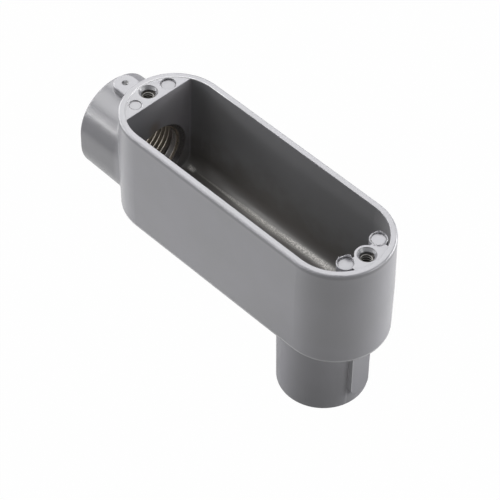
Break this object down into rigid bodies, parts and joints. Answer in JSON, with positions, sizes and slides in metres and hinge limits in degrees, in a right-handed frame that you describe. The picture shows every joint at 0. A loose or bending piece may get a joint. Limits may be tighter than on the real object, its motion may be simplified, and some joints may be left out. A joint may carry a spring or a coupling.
{
  "type": "conduit body",
  "caption": "Long round-ended cast conduit body, open at its cover face, with a threaded hub at its end, a threaded hub at its back and bosses for cover screws.",
  "frame": {"origin": "centre of the back hub's mouth", "axes": "+Z from the back hub's mouth to the cover face, -X the way the end hub points, Y across the body"},
  "size_m": [0.1309, 0.0396, 0.0756],
  "materials": {
    "coated_casting": "semi-gloss grey powder coat over die-cast aluminium"
  },
  "bodies": {
    "root": {"conduit_body": "coated_casting"}
  },
  "joints": []
}
